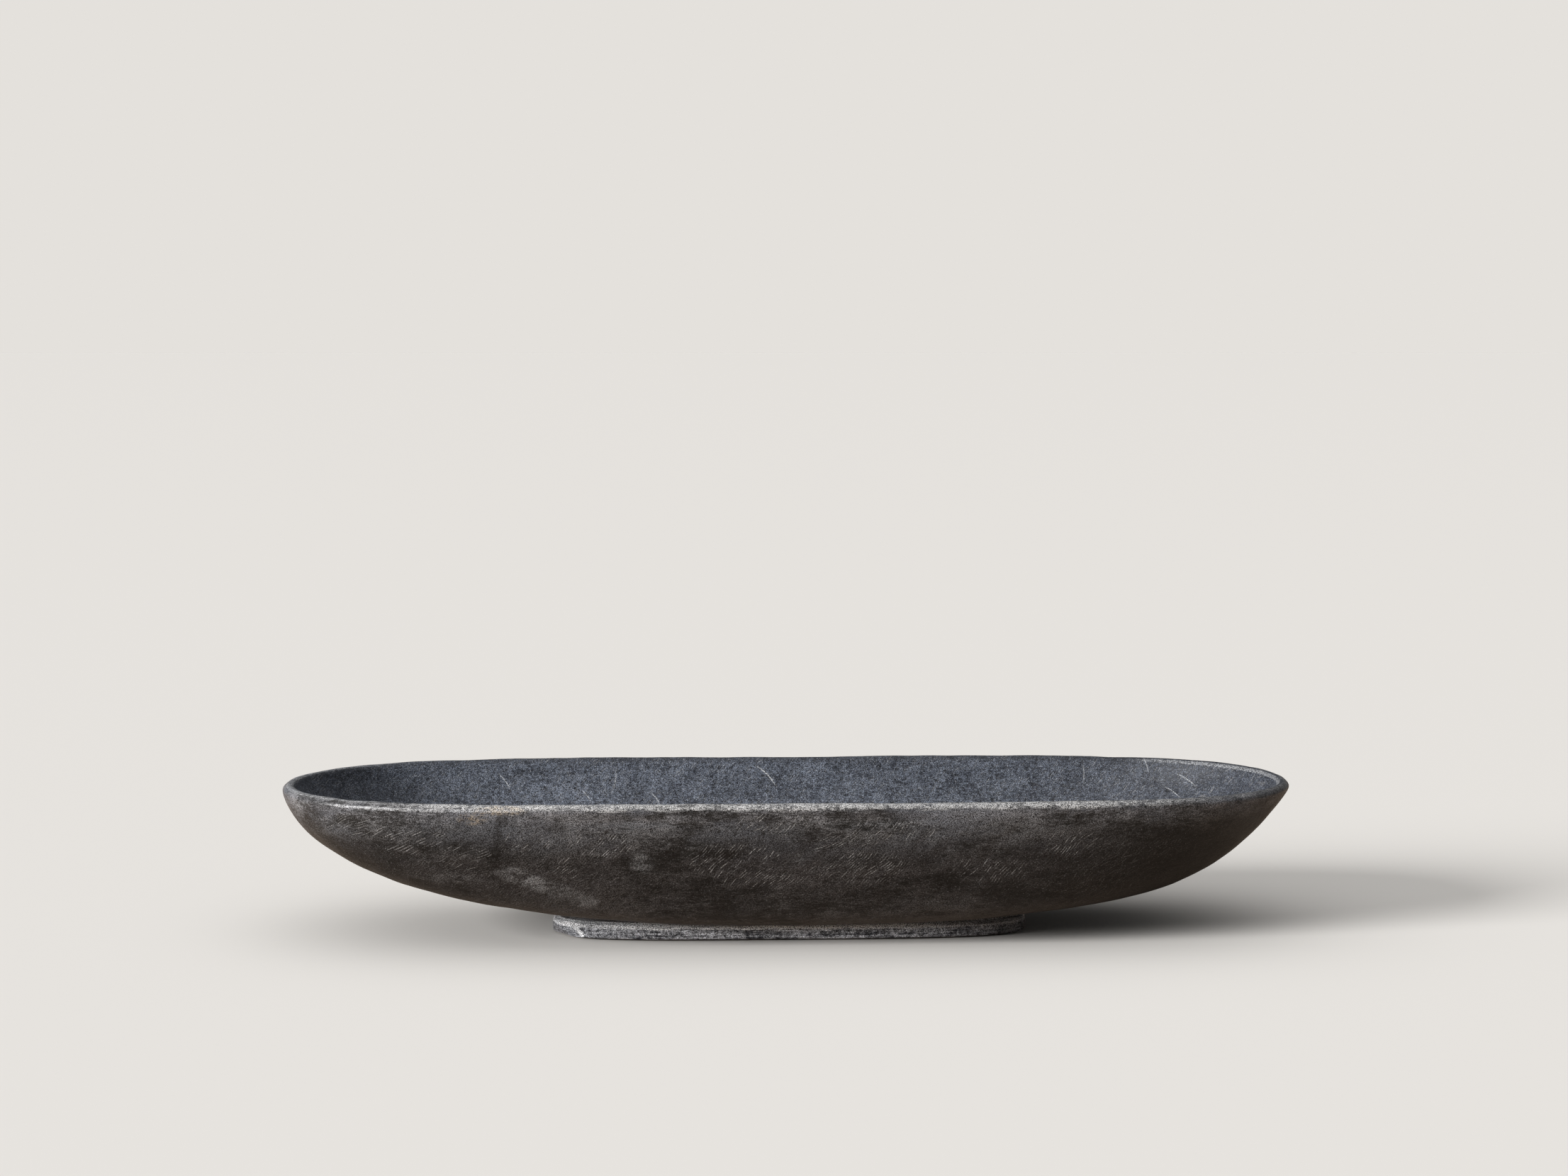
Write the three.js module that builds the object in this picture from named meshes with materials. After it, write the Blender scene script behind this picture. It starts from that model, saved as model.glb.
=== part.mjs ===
// Long oval stone bowl, carved from one block together with its foot, on four felt pads.
// Millimetres, +Z up, +X along the length, origin on the table under the middle of the bowl.

import * as THREE from 'three';

// Outside of the stone
const LENGTH = 610;
const WIDTH = 210;
const HEIGHT = 90;
const RIM_THICKNESS = 9;

// Foot, cut in the same block, with a soft lower arris and a round shoulder
const FOOT_LENGTH = 286;
const FOOT_WIDTH = 100;
const FOOT_HEIGHT = 9;
const FOOT_ARRIS = 0.8;
const FOOT_SHOULDER = 4;

// Cove between the foot and the belly: it opens towards the ends, where the keel turns up
const COVE_DEPTH = 1.5;
const COVE_AT_SIDES = 1;
const COVE_AT_ENDS = 15;

// Hollow, measured down from the top of the rim to the middle of its floor
const HOLLOW_DEPTH = 62;

// Felt pads under the corners of the foot
const PAD_DIAMETER = 14;
const PAD_THICKNESS = 1;
const PAD_FROM_END = 30;
const PAD_FROM_SIDE = 18;

// Plan outlines: 2 is an ellipse, and a larger number has straighter sides and fuller ends
const RIM_SQUARENESS = 5.5;
const FOOT_SQUARENESS = 4;

// How late the keel turns up on its way to the ends: 2 is an even curve
const TURN_UP_POWER = 2.6;

// Carving of the walls: a larger lift steepens a wall under the rim,
// and a larger spread flattens it where it leaves the cove or the middle of the floor
const LEFT_LIFT = 1.61;
const LEFT_SPREAD = 2.48;
const RIGHT_LIFT = 1;
const RIGHT_SPREAD = 3.73;
const HOLLOW_LIFT = 1.6;
const HOLLOW_END_SPREAD = 2.7;
const HOLLOW_SIDE_SPREAD = 4;

// Fineness of the faceted surface
const SEGMENTS = 96;
const BELLY_STEPS = 13;
const HOLLOW_STEPS = 14;
const WALL_STEP_POWER = 3;
const RIM_STEPS = 6;
const SHOULDER_STEPS = 3;
const COVE_STEPS = 4;
const PAD_CURVE_STEPS = 12;

// Heights that follow from the sizes above
const RIM_RADIUS = RIM_THICKNESS / 2;
const RIM_AXIS_HEIGHT = HEIGHT - RIM_RADIUS;
const FOOT_TOP = PAD_THICKNESS + FOOT_HEIGHT;
const KEEL_TURN_UP = COVE_AT_ENDS - COVE_AT_SIDES;
const FLOOR_HEIGHT = HEIGHT - HOLLOW_DEPTH;

const STONE = new THREE.MeshStandardMaterial({ color: 0x4b4846, roughness: 0.6, metalness: 0 });
const FELT = new THREE.MeshStandardMaterial({ color: 0x2a2827, roughness: 0.95, metalness: 0 });

// Unit outline of the rim at an angle: straight sides with nearly half-round ends
function rimOutline(angle) {
  const along = Math.cos(angle);
  const across = Math.sqrt(1 - Math.abs(along) ** RIM_SQUARENESS);
  return new THREE.Vector2(along, Math.sign(Math.sin(angle)) * across);
}

// Unit outline of the foot at an angle: a rectangle with soft corners
function footOutline(angle) {
  const direction = new THREE.Vector2(Math.cos(angle), Math.sin(angle));
  const powers = Math.abs(direction.x) ** FOOT_SQUARENESS + Math.abs(direction.y) ** FOOT_SQUARENESS;
  return direction.multiplyScalar(powers ** (-1 / FOOT_SQUARENESS));
}

// One ring of the stone: its reach to the left, to the right and to each side, its height at
// the sides, how much higher it is at the ends, and how far its outline has gone from the
// foot's (0) to the rim's (1)
function ring(left, right, side, height, turnUp, toRim) {
  return { left, right, side, height, turnUp, toRim };
}

// A level ring that is set in from the rim's outline by the same amount all round
function rimRing(inset, height) {
  return ring(LENGTH / 2 - inset, LENGTH / 2 - inset, WIDTH / 2 - inset, height, 0, 1);
}

// A ring that is set in from the foot's outline by the same amount all round
function footRing(inset, height, turnUp = 0) {
  const reach = FOOT_LENGTH / 2 - inset;
  return ring(reach, reach, FOOT_WIDTH / 2 - inset, height, turnUp, 0);
}

// Share of the way out, from 0 to 1, that a wall has gone at a share of its height
function growth(rise, lift, spread) {
  return (1 - (1 - rise) ** lift) ** (1 / spread);
}

// Shares of a wall's height, close together low down where it turns most
function wallRise(step, steps) {
  return (step / steps) ** WALL_STEP_POWER;
}

// Foot from its underside up to its shoulder, and the cove above it
function footRings() {
  const rings = [footRing(FOOT_ARRIS, PAD_THICKNESS), footRing(0, PAD_THICKNESS + FOOT_ARRIS)];
  for (let step = 0; step <= SHOULDER_STEPS; step += 1) {
    const turn = (step / SHOULDER_STEPS) * (Math.PI / 2);
    const inset = FOOT_SHOULDER * (1 - Math.cos(turn));
    rings.push(footRing(inset, FOOT_TOP - FOOT_SHOULDER * (1 - Math.sin(turn))));
  }
  for (let step = 1; step < COVE_STEPS; step += 1) {
    const share = step / COVE_STEPS;
    const inset = FOOT_SHOULDER * (1 - share) + COVE_DEPTH * Math.sin(share * Math.PI);
    rings.push(footRing(inset, FOOT_TOP + COVE_AT_SIDES * share, KEEL_TURN_UP * share));
  }
  return rings;
}

// Belly from the cove up to the outer edge of the rim, leaving the cove level
function bellyRings() {
  const { lerp } = THREE.MathUtils;
  const low = footRing(0, FOOT_TOP + COVE_AT_SIDES, KEEL_TURN_UP);
  const high = rimRing(0, RIM_AXIS_HEIGHT);
  const rings = [];
  for (let step = 0; step < BELLY_STEPS; step += 1) {
    const rise = wallRise(step, BELLY_STEPS);
    const left = growth(rise, LEFT_LIFT, LEFT_SPREAD);
    const right = growth(rise, RIGHT_LIFT, RIGHT_SPREAD);
    rings.push(ring(
      lerp(low.left, high.left, left),
      lerp(low.right, high.right, right),
      lerp(low.side, high.side, (left + right) / 2),
      lerp(low.height, high.height, rise),
      lerp(low.turnUp, high.turnUp, rise),
      Math.sqrt(rise),
    ));
  }
  return rings;
}

// Rim, rolled over in a half circle from the belly to the hollow
function rimRings() {
  const rings = [];
  for (let step = 0; step <= RIM_STEPS; step += 1) {
    const turn = (step / RIM_STEPS) * Math.PI;
    rings.push(rimRing(RIM_RADIUS * (1 - Math.cos(turn)), RIM_AXIS_HEIGHT + RIM_RADIUS * Math.sin(turn)));
  }
  return rings;
}

// Hollow from the inner edge of the rim down its wall and in over its floor
function hollowRings() {
  const mouth = rimRing(RIM_THICKNESS, RIM_AXIS_HEIGHT);
  const rings = [];
  for (let step = HOLLOW_STEPS - 1; step > 0; step -= 1) {
    const rise = wallRise(step, HOLLOW_STEPS);
    const reach = mouth.right * growth(rise, HOLLOW_LIFT, HOLLOW_END_SPREAD);
    const side = mouth.side * growth(rise, HOLLOW_LIFT, HOLLOW_SIDE_SPREAD);
    rings.push(ring(reach, reach, side, THREE.MathUtils.lerp(FLOOR_HEIGHT, mouth.height, rise), 0, 1));
  }
  return rings;
}

// Point of a ring at an angle
function ringPoint(level, angle) {
  const outline = footOutline(angle).lerp(rimOutline(angle), level.toRim);
  const reach = outline.x < 0 ? level.left : level.right;
  const height = level.height + level.turnUp * Math.abs(outline.x) ** TURN_UP_POWER;
  return new THREE.Vector3(reach * outline.x, level.side * outline.y, height);
}

// Closed skin through a stack of rings, with a middle point that closes each end
function skin(rings, startHeight, endHeight) {
  const points = [new THREE.Vector3(0, 0, startHeight)];
  for (const level of rings) {
    for (let step = 0; step < SEGMENTS; step += 1) {
      points.push(ringPoint(level, (step / SEGMENTS) * 2 * Math.PI));
    }
  }
  points.push(new THREE.Vector3(0, 0, endHeight));

  const faces = [];
  const end = points.length - 1;
  const corner = (level, step) => 1 + level * SEGMENTS + (step % SEGMENTS);
  for (let step = 0; step < SEGMENTS; step += 1) {
    faces.push(0, corner(0, step + 1), corner(0, step));
    for (let level = 0; level < rings.length - 1; level += 1) {
      const [a, b] = [corner(level, step), corner(level, step + 1)];
      const [c, d] = [corner(level + 1, step + 1), corner(level + 1, step)];
      faces.push(a, b, c, a, c, d);
    }
    faces.push(corner(rings.length - 1, step), corner(rings.length - 1, step + 1), end);
  }

  const geometry = new THREE.BufferGeometry().setFromPoints(points);
  geometry.setIndex(faces);
  geometry.computeVertexNormals();
  return geometry;
}

// The stone: foot, belly, rim and hollow are one carved block
function makeBowl() {
  const rings = [...footRings(), ...bellyRings(), ...rimRings(), ...hollowRings()];
  const bowl = new THREE.Mesh(skin(rings, PAD_THICKNESS, FLOOR_HEIGHT), STONE);
  bowl.name = 'bowl';
  return bowl;
}

// One felt pad, stuck flat to the underside of the foot near a corner
function makePad(name, endSign, sideSign) {
  const disc = new THREE.Shape().absarc(0, 0, PAD_DIAMETER / 2, 0, 2 * Math.PI);
  const options = { depth: PAD_THICKNESS, bevelEnabled: false, curveSegments: PAD_CURVE_STEPS };
  const pad = new THREE.Mesh(new THREE.ExtrudeGeometry(disc, options), FELT);
  pad.name = name;
  pad.position.x = endSign * (FOOT_LENGTH / 2 - PAD_FROM_END);
  pad.position.y = sideSign * (FOOT_WIDTH / 2 - PAD_FROM_SIDE);
  return pad;
}

const bowlOnPads = new THREE.Group();
bowlOnPads.add(
  makeBowl(),
  makePad('felt_pad_front_left', -1, -1),
  makePad('felt_pad_front_right', 1, -1),
  makePad('felt_pad_back_left', -1, 1),
  makePad('felt_pad_back_right', 1, 1),
);

export default bowlOnPads;
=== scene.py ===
"""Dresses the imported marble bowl: hand-carved charcoal stone, felt pads and a plain studio stage."""

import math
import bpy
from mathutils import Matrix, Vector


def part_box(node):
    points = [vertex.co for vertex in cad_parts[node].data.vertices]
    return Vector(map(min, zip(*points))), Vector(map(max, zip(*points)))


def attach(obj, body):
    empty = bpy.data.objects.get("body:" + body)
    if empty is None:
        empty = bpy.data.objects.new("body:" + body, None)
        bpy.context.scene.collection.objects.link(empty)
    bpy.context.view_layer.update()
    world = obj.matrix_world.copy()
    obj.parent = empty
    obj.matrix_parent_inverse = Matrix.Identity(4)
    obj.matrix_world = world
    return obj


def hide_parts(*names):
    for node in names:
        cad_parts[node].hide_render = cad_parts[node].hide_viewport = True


bl_info = {
    "name": "Carved Marble Bowl",
    "version": (1, 0, 0),
    "blender": (4, 5, 0),
    "location": "View3D > Sidebar > Bowl",
    "description": "Carves and finishes a long oval bowl of dark marble, its felt pads and a studio stage",
    "category": "Object",
}

import bpy
from bpy.props import FloatProperty, FloatVectorProperty, PointerProperty
from mathutils import Vector, noise
from mathutils.geometry import intersect_point_line

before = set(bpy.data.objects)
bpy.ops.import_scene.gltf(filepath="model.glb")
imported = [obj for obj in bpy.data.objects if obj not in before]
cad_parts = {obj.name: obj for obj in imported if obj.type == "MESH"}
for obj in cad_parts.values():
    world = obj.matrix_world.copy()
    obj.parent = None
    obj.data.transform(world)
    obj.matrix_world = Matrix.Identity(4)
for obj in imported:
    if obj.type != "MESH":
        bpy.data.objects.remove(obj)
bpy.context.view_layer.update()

MM = 0.001
BOWL_LOW, BOWL_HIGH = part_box("bowl")
PAD_NODES = sorted(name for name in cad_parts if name.startswith("felt_pad"))

# Sizes of the carved stone that its finish follows
RIM_TOP = BOWL_HIGH[2]
RIM_RADIUS = 4.5 * MM
UNDERSIDE = BOWL_LOW[2]
FOOT_TOP = UNDERSIDE + 9 * MM
LENGTH_TO_WIDTH = 3


# Settings

class StoneSettings(bpy.types.PropertyGroup):
    """Colours and hand work of the stone."""

    outside_dark: FloatVectorProperty(
        name="Outside, dark", description="Stone of the belly where the rasp left it smooth",
        subtype="COLOR", size=3, min=0, max=1, default=(0.012, 0.0113, 0.0110))
    outside_light: FloatVectorProperty(
        name="Outside, light", description="Stone of the belly where it is dry and rubbed",
        subtype="COLOR", size=3, min=0, max=1, default=(0.097, 0.0955, 0.098))
    outside_cool: FloatVectorProperty(
        name="Outside, cool", description="Bluer patches of the belly",
        subtype="COLOR", size=3, min=0, max=1, default=(0.074, 0.077, 0.086))
    hollow_dark: FloatVectorProperty(
        name="Hollow, dark", description="Bluer stone of the hollow in its smooth patches",
        subtype="COLOR", size=3, min=0, max=1, default=(0.016, 0.0180, 0.0245))
    hollow_light: FloatVectorProperty(
        name="Hollow, light", description="Bluer stone of the hollow where it is rubbed pale",
        subtype="COLOR", size=3, min=0, max=1, default=(0.122, 0.137, 0.170))
    dusty: FloatVectorProperty(
        name="Dusty", description="Dry grey stone of the foot",
        subtype="COLOR", size=3, min=0, max=1, default=(0.560, 0.573, 0.610))
    # Pale colour of the painted highlights on the foot's shoulder and at the rim's ends
    scuffed: FloatVectorProperty(
        name="Scuffed", description="Stone rubbed pale on the foot's shoulder and the rim's ends",
        subtype="COLOR", size=3, min=0, max=1, default=(0.860, 0.865, 0.880))
    # Bruised rim, which also stands as a painted highlight along the front of the rim
    worn_edge: FloatVectorProperty(
        name="Worn edge", description="Bruised stone along the rim",
        subtype="COLOR", size=3, min=0, max=1, default=(0.345, 0.342, 0.340))
    rasped: FloatVectorProperty(
        name="Rasped", description="Dry stone in the strokes of the rasp",
        subtype="COLOR", size=3, min=0, max=1, default=(0.200, 0.194, 0.190))
    crystal: FloatVectorProperty(
        name="Crystal", description="Pale crystals, blooms and fresh scratches",
        subtype="COLOR", size=3, min=0, max=1, default=(0.420, 0.425, 0.435))
    rust: FloatVectorProperty(
        name="Rust", description="Iron stain on the front of the rim",
        subtype="COLOR", size=3, min=0, max=1, default=(0.260, 0.185, 0.095))
    swell: FloatProperty(
        name="Swell", description="Height of the broad unevenness that the carver's hand left",
        unit="LENGTH", min=0, max=0.003, default=0.6 * MM)
    dents: FloatProperty(
        name="Dents", description="Height of the small facets that the tool left",
        unit="LENGTH", min=0, max=0.002, default=0.35 * MM)
    nicks: FloatProperty(
        name="Nicks", description="Depth of the nicks along the rim",
        unit="LENGTH", min=0, max=0.003, default=0.9 * MM)


class FeltSettings(bpy.types.PropertyGroup):
    """Colour and make of the felt pads."""

    colour: FloatVectorProperty(
        name="Felt", description="Pressed wool of the pads",
        subtype="COLOR", size=3, min=0, max=1, default=(0.030, 0.028, 0.027))
    lint: FloatVectorProperty(
        name="Lint", description="Pale fibres in the wool",
        subtype="COLOR", size=3, min=0, max=1, default=(0.150, 0.145, 0.140))
    bulge: FloatProperty(
        name="Bulge", description="How far the pressed edge stands out",
        unit="LENGTH", min=0, max=0.001, default=0.25 * MM)
    fuzz: FloatProperty(
        name="Fuzz", description="Height of the loose fibres on the edge",
        unit="LENGTH", min=0, max=0.0005, default=0.08 * MM)


class StageSettings(bpy.types.PropertyGroup):
    """Floor, light and camera."""

    floor: FloatVectorProperty(
        name="Floor", description="Floor as the camera sees it",
        subtype="COLOR", size=3, min=0, max=1, default=(0.78, 0.755, 0.72))
    bounce: FloatVectorProperty(
        name="Bounce", description="Floor as it throws light back on the bowl",
        subtype="COLOR", size=3, min=0, max=1, default=(0.42, 0.325, 0.25))
    backdrop: FloatVectorProperty(
        name="Backdrop", description="Background behind the floor",
        subtype="COLOR", size=3, min=0, max=1, default=(0.777, 0.752, 0.717))
    key: FloatProperty(
        name="Key", description="Strength of the soft key light from the left and front", min=0, max=20,
        default=4.5)
    sky: FloatProperty(
        name="Sky", description="Strength of the even light from overhead", min=0, max=2, default=0.95)
    shade: FloatProperty(
        name="Shade", description="Strength of the even light from the sides", min=0, max=2, default=0.14)
    lens: FloatProperty(
        name="Lens", description="Focal length of the camera, in millimetres", unit="CAMERA", min=10, max=200,
        default=69.98)


# Modelling helpers

def start_alone():
    """Leaves edit mode and deselects everything, so that an operator acts only on what comes next."""
    if bpy.context.object and bpy.context.object.mode != "OBJECT":
        bpy.ops.object.mode_set(mode="OBJECT")
    bpy.ops.object.select_all(action="DESELECT")


def take(piece):
    """Makes a piece the only selected and active one."""
    start_alone()
    piece.select_set(True)
    bpy.context.view_layer.objects.active = piece


def copy_of_node(node, name):
    """A new piece with its own copy of a CAD node's mesh, merged into a closed skin of quads."""
    piece = bpy.data.objects.new(name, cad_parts[node].data.copy())
    bpy.context.collection.objects.link(piece)
    piece.data.name = name
    take(piece)
    bpy.ops.object.mode_set(mode="EDIT")
    bpy.ops.mesh.select_all(action="SELECT")
    bpy.ops.mesh.remove_doubles(threshold=0.01 * MM)
    bpy.ops.mesh.tris_convert_to_quads()
    bpy.ops.object.mode_set(mode="OBJECT")
    return piece


def select_faces(piece, wanted):
    """In edit mode, selects the faces whose centre and normal a test accepts."""
    bpy.ops.mesh.select_mode(type="FACE")
    bpy.ops.mesh.select_all(action="DESELECT")
    bpy.ops.object.mode_set(mode="OBJECT")
    for face in piece.data.polygons:
        face.select = wanted(face.center, face.normal)
    bpy.ops.object.mode_set(mode="EDIT")


def apply_modifier(piece, kind, **settings):
    """Adds a modifier with its settings and applies it."""
    take(piece)
    modifier = piece.modifiers.new(kind.lower(), kind)
    for name, value in settings.items():
        setattr(modifier, name, value)
    bpy.ops.object.modifier_apply(modifier=modifier.name)


def subdivide_smoothly(piece, levels):
    """Refines a piece as a subdivision surface."""
    apply_modifier(piece, "SUBSURF", levels=levels, render_levels=levels)


def paint_weights(piece, name, weigh):
    """A vertex group whose weights come from each vertex's place and normal."""
    group = piece.vertex_groups.new(name=name)
    for vertex in piece.data.vertices:
        weight = weigh(vertex.co, vertex.normal)
        if weight > 0:
            group.add([vertex.index], min(weight, 1.0), "REPLACE")
    return name


def cloud_texture(name, size, depth):
    """A soft cloud pattern for displacement, with its lump size in metres."""
    texture = bpy.data.textures.new(name, "CLOUDS")
    texture.noise_scale = size
    texture.noise_depth = depth
    return texture


def push(piece, group, strength, texture=None):
    """Moves the vertices of a group along their normals, evenly or by a texture."""
    settings = {"vertex_group": group, "strength": strength, "direction": "NORMAL", "mid_level": 0}
    if texture:
        settings.update(texture=texture, texture_coords="LOCAL", mid_level=0.5)
    apply_modifier(piece, "DISPLACE", **settings)


def store_mask(piece, name, measure):
    """A mask on the mesh, for the material to read, from each vertex's place and normal."""
    mask = piece.data.attributes.new(name, "FLOAT", "POINT")
    values = [measure(vertex.co, vertex.normal) for vertex in piece.data.vertices]
    mask.data.foreach_set("value", values)


def outward(place):
    """The level direction away from the bowl's middle: across counts more, as the bowl is long and narrow."""
    return Vector((place.x, place.y * LENGTH_TO_WIDTH, 0)).normalized()


def wander(place, size):
    """An unevenness round the bowl that is the same at every height, with its lump size in metres."""
    return noise.noise(Vector((place.x, place.y, 0)) / size)


def ease(low, high, value):
    """0 below low and 1 above high, with a soft step between them."""
    share = min(max((value - low) / (high - low), 0.0), 1.0)
    return share * share * (3 - 2 * share)


def from_mm(*lengths):
    """Lengths in millimetres, as metres."""
    return tuple(length * MM for length in lengths)


# Node helpers

def add(tree, kind, inputs=None, **settings):
    """A shader node with its settings, and its inputs set or linked."""
    made = tree.nodes.new("ShaderNode" + kind)
    for name, value in settings.items():
        setattr(made, name, value)
    for name, value in (inputs or {}).items():
        if isinstance(value, bpy.types.NodeSocket):
            tree.links.new(value, made.inputs[name])
        else:
            made.inputs[name].default_value = value
    return made


def calc(tree, operation, first, second=0.0):
    """A number worked out from one or two others."""
    return add(tree, "Math", {0: first, 1: second}, operation=operation).outputs[0]


def times(tree, first, second):
    """The product of two numbers."""
    return calc(tree, "MULTIPLY", first, second)


def most(tree, first, second):
    """The larger of two numbers."""
    return calc(tree, "MAXIMUM", first, second)


def vector_calc(tree, operation, first, second):
    """A vector worked out from two others."""
    return add(tree, "VectorMath", {0: first, 1: second}, operation=operation).outputs["Vector"]


def scaled(tree, vector, factor):
    """A vector or colour times a number."""
    return add(tree, "VectorMath", {0: vector, "Scale": factor}, operation="SCALE").outputs["Vector"]


def length_of(tree, vector):
    """The length of a vector."""
    return add(tree, "VectorMath", {0: vector}, operation="LENGTH").outputs["Value"]


def ramp(tree, value, low, high, from_value=0.0, to_value=1.0):
    """A soft step of a value between two limits."""
    inputs = {"Value": value, 1: low, 2: high, 3: from_value, 4: to_value}
    return add(tree, "MapRange", inputs, interpolation_type="SMOOTHSTEP").outputs[0]


def total(tree, *terms):
    """The sum of values, each with its weight."""
    result = 0.0
    for value, weight in terms:
        result = add(tree, "Math", {0: value, 1: weight, 2: result}, operation="MULTIPLY_ADD").outputs[0]
    return result


def blend(tree, share, first, second):
    """A colour between two others."""
    return add(tree, "Mix", {0: share, 6: first, 7: second}, data_type="RGBA").outputs[2]


def colour(values):
    """An opaque colour for a socket."""
    return (*values, 1.0)


def tinted(tree, share, ground, tint):
    """A colour that is multiplied by a tint where a share says."""
    return blend(tree, share, ground, vector_calc(tree, "MULTIPLY", ground, tint))


def covered(tree, ground, share, strength, finish):
    """A colour under a finish that lies over it where a share says, with a strength."""
    return blend(tree, times(tree, share, strength), ground, colour(finish))


def new_group(name, inputs, output):
    """An empty node group with named inputs and one output: its tree, its input sockets and its end."""
    tree = bpy.data.node_groups.new(name, "ShaderNodeTree")
    for label, kind, default in inputs:
        socket = tree.interface.new_socket(label, in_out="INPUT", socket_type="NodeSocket" + kind)
        if default is not None:
            socket.default_value = default
    tree.interface.new_socket(output, in_out="OUTPUT", socket_type="NodeSocketFloat")
    start = tree.nodes.new("NodeGroupInput")
    end = tree.nodes.new("NodeGroupOutput")
    return tree, start.outputs, end.inputs[output]


def use_group(tree, group, **inputs):
    """A node group placed in a material with its own values: its only output."""
    named = {name.capitalize(): value for name, value in inputs.items()}
    return add(tree, "Group", named, node_tree=group).outputs[0]


# Shared surface effects

def tone_mottle():
    """Soft lighter and darker patches of a given size."""
    inputs = [
        ("Vector", "Vector", None), ("Size", "Float", 0.05), ("Low", "Float", 0.35), ("High", "Float", 0.65),
    ]
    tree, given, end = new_group("tone_mottle", inputs, "Mask")
    scale = calc(tree, "DIVIDE", 1.0, given["Size"])
    cloud = {"Vector": given["Vector"], "Scale": scale, "Detail": 4.0, "Roughness": 0.6}
    lumps = add(tree, "TexNoise", cloud).outputs[0]
    tree.links.new(ramp(tree, lumps, given["Low"], given["High"]), end)
    return tree


def bright_speckle():
    """Small bright specks, each in a cell of its own: crystals in stone, lint in felt."""
    inputs = [("Vector", "Vector", None), ("Size", "Float", 0.0015), ("Amount", "Float", 0.2)]
    tree, given, end = new_group("bright_speckle", inputs, "Mask")
    scale = calc(tree, "DIVIDE", 1.0, given["Size"])
    cells = add(tree, "TexVoronoi", {"Vector": given["Vector"], "Scale": scale})
    chance = add(tree, "SeparateColor", {0: cells.outputs["Color"]})
    chosen = calc(tree, "LESS_THAN", chance.outputs[0], given["Amount"])
    core = ramp(tree, cells.outputs["Distance"], 0.55, 0.15)
    speck = times(tree, chosen, core)
    tree.links.new(times(tree, speck, chance.outputs[1]), end)
    return tree


def short_strokes():
    """Short thin parallel strokes at an angle to the length: rasp marks in stone, fibres in felt."""
    inputs = [
        ("Vector", "Vector", None), ("Angle", "Float", 0.8), ("Spacing", "Float", 0.0016),
        ("Length", "Float", 0.007), ("Width", "Float", 0.5), ("Amount", "Float", 0.6),
    ]
    tree, given, end = new_group("short_strokes", inputs, "Mask")
    place = given["Vector"]
    turned = add(tree, "VectorRotate", {"Vector": place, "Angle": given["Angle"]}, rotation_type="Y_AXIS")
    sides = add(tree, "SeparateXYZ", {0: turned.outputs[0]}).outputs
    bend_scale = calc(tree, "DIVIDE", 0.5, given["Length"])
    bend = add(tree, "TexNoise", {"Vector": place, "Scale": bend_scale, "Detail": 0.0}).outputs[0]
    across = calc(tree, "ADD", calc(tree, "DIVIDE", sides["Z"], given["Spacing"]), times(tree, bend, 4.0))
    row = calc(tree, "FLOOR", across)
    start = add(tree, "TexWhiteNoise", {"W": row}, noise_dimensions="1D").outputs["Value"]
    along = calc(tree, "ADD", calc(tree, "DIVIDE", sides["X"], given["Length"]), times(tree, start, 7.0))
    cell = add(tree, "CombineXYZ", {0: row, 1: calc(tree, "FLOOR", along)}).outputs[0]
    chance = add(tree, "TexWhiteNoise", {"Vector": cell}, noise_dimensions="2D").outputs["Value"]
    chosen = ramp(tree, chance, calc(tree, "SUBTRACT", 1.0, given["Amount"]), 1.1)
    off = calc(tree, "ABSOLUTE", calc(tree, "SUBTRACT", calc(tree, "FRACT", across), 0.5))
    line = ramp(tree, off, times(tree, given["Width"], 0.5), 0.0)
    share = calc(tree, "FRACT", along)
    ends = times(tree, ramp(tree, share, 0.0, 0.3), ramp(tree, share, 1.0, 0.6))
    stroke = times(tree, line, ends)
    tree.links.new(times(tree, stroke, chosen), end)
    return tree


def curved_scratch():
    """One bowed scratch on an upright wall, at a middle point and bent round a centre."""
    inputs = [
        ("Vector", "Vector", None), ("Middle", "Vector", None), ("Centre", "Vector", None),
        ("Reach", "Float", 0.01), ("Width", "Float", 0.0006),
    ]
    tree, given, end = new_group("curved_scratch", inputs, "Mask")
    upright = (1.0, 0.0, 1.0)
    from_centre = vector_calc(tree, "SUBTRACT", given["Vector"], given["Centre"])
    spoke = vector_calc(tree, "MULTIPLY", from_centre, upright)
    middle_from_centre = vector_calc(tree, "SUBTRACT", given["Middle"], given["Centre"])
    bend = vector_calc(tree, "MULTIPLY", middle_from_centre, upright)
    off = calc(tree, "ABSOLUTE", calc(tree, "SUBTRACT", length_of(tree, spoke), length_of(tree, bend)))
    line = ramp(tree, off, given["Width"], 0.0)
    away = length_of(tree, vector_calc(tree, "SUBTRACT", given["Vector"], given["Middle"]))
    near = ramp(tree, away, given["Reach"], times(tree, given["Reach"], 0.3))
    tree.links.new(times(tree, line, near), end)
    return tree


def broken_mask():
    """A soft mask broken by a pattern: a bruise, a seam, a stain or a patch of strokes."""
    inputs = [
        ("Mask", "Float", 0.0), ("Pattern", "Float", 0.5), ("Low", "Float", 0.3), ("High", "Float", 0.7),
    ]
    tree, given, end = new_group("broken_mask", inputs, "Mask")
    left = ramp(tree, given["Pattern"], given["Low"], given["High"])
    spread = calc(tree, "ADD", times(tree, left, 0.8), 0.2)
    reach = ramp(tree, calc(tree, "ADD", given["Mask"], times(tree, left, 0.3)), 0.2, 1.1)
    inside = ramp(tree, given["Mask"], 0.0, 0.5)
    tree.links.new(times(tree, times(tree, spread, reach), inside), end)
    return tree


def effect(make):
    """The node group that a function makes, made once."""
    return bpy.data.node_groups.get(make.__name__) or make()


def mottle(tree, place, size, low=0.3, high=0.7):
    """Soft patches of a size, placed in a material."""
    return use_group(tree, effect(tone_mottle), vector=place, size=size, low=low, high=high)


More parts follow.
